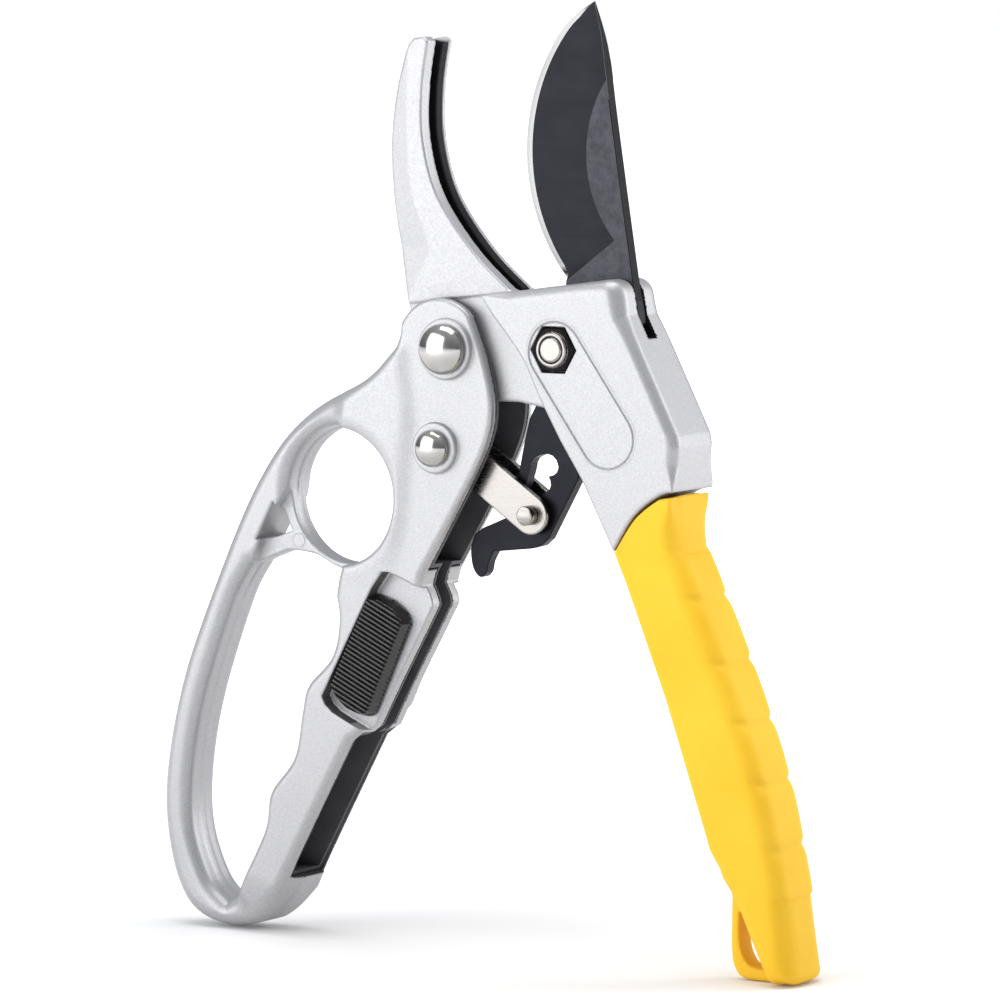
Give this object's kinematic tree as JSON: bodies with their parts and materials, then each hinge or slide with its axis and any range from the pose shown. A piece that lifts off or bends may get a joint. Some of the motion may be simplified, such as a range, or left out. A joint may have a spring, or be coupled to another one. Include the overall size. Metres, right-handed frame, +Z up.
{
  "type": "bypass pruner",
  "caption": "Ratchet-action hand pruner with a grooved hook jaw, a curved blade, a finger-guard handle and a sliding latch, standing open.",
  "frame": {"origin": "centre of the bounding box at the height of the two handle ends, on which the open tool stands", "axes": "+Z up along the tool from the handle ends to the blade tip, +X from the guard handle to the gripped handle, -Y the side with the nut"},
  "size_m": [0.1772, 0.0296, 0.2259],
  "materials": {
    "cast_silver": "die-cast aluminium, fine-grained silver paint",
    "liner_black": "satin black",
    "grip_yellow": "smooth dipped vinyl, satin",
    "plated_steel": "nickel plated steel, lightly brushed",
    "blade_coating": "black non-stick coating on ground steel",
    "channel_black": "blackened sheet steel",
    "rivet_chrome": "polished domes",
    "spring_steel": "oiled spring wire",
    "latch_black": "moulded, fine ribs"
  },
  "bodies": {
    "main": {"main_casting": "cast_silver", "hook_liner": "liner_black", "grip": "grip_yellow", "main_bolt": "plated_steel", "bolt_washer": "plated_steel", "main_nut": "plated_steel"},
    "blade": {"blade": "blade_coating"},
    "guard": {"guard_handle": "cast_silver", "channel_liner": "channel_black", "pivot_rivet": "rivet_chrome", "link_rivet": "rivet_chrome", "opening_spring": "spring_steel", "link_spring": "spring_steel"},
    "link": {"link_plate_front": "plated_steel", "link_plate_back": "plated_steel", "link_pin": "plated_steel"},
    "latch": {"latch_button_front": "latch_black", "latch_button_back": "latch_black", "latch_bar": "latch_black", "latch_spring": "spring_steel"}
  },
  "joints": [
    {"name": "guard_swing", "type": "hinge", "parent": "main", "child": "guard", "pos_m": [-0.00469, 0, 0.14426], "axis": [0, -1, 0], "range_deg": [0, 44], "stiffness_Nm_per_rad": 0.25, "springref_deg": -34.38},
    {"name": "blade_swing", "type": "hinge", "parent": "main", "child": "blade", "pos_m": [0.02471, 0, 0.14496], "axis": [0, -1, 0], "range_deg": [0, 32.6]},
    {"name": "link_swing", "type": "hinge", "parent": "guard", "child": "link", "pos_m": [-0.00759, 0, 0.12076], "axis": [0, 1, 0], "range_deg": [0, 26.5]},
    {"name": "latch_slide", "type": "slide", "parent": "guard", "child": "latch", "axis": [0.4305, 0, 0.9026], "range_m": [0, 0.0055]}
  ],
  "couplings": [
    {"joint": "blade_swing", "follows": "guard_swing", "ratio": 0.74},
    {"joint": "link_swing", "follows": "guard_swing", "ratio": 0.6}
  ]
}
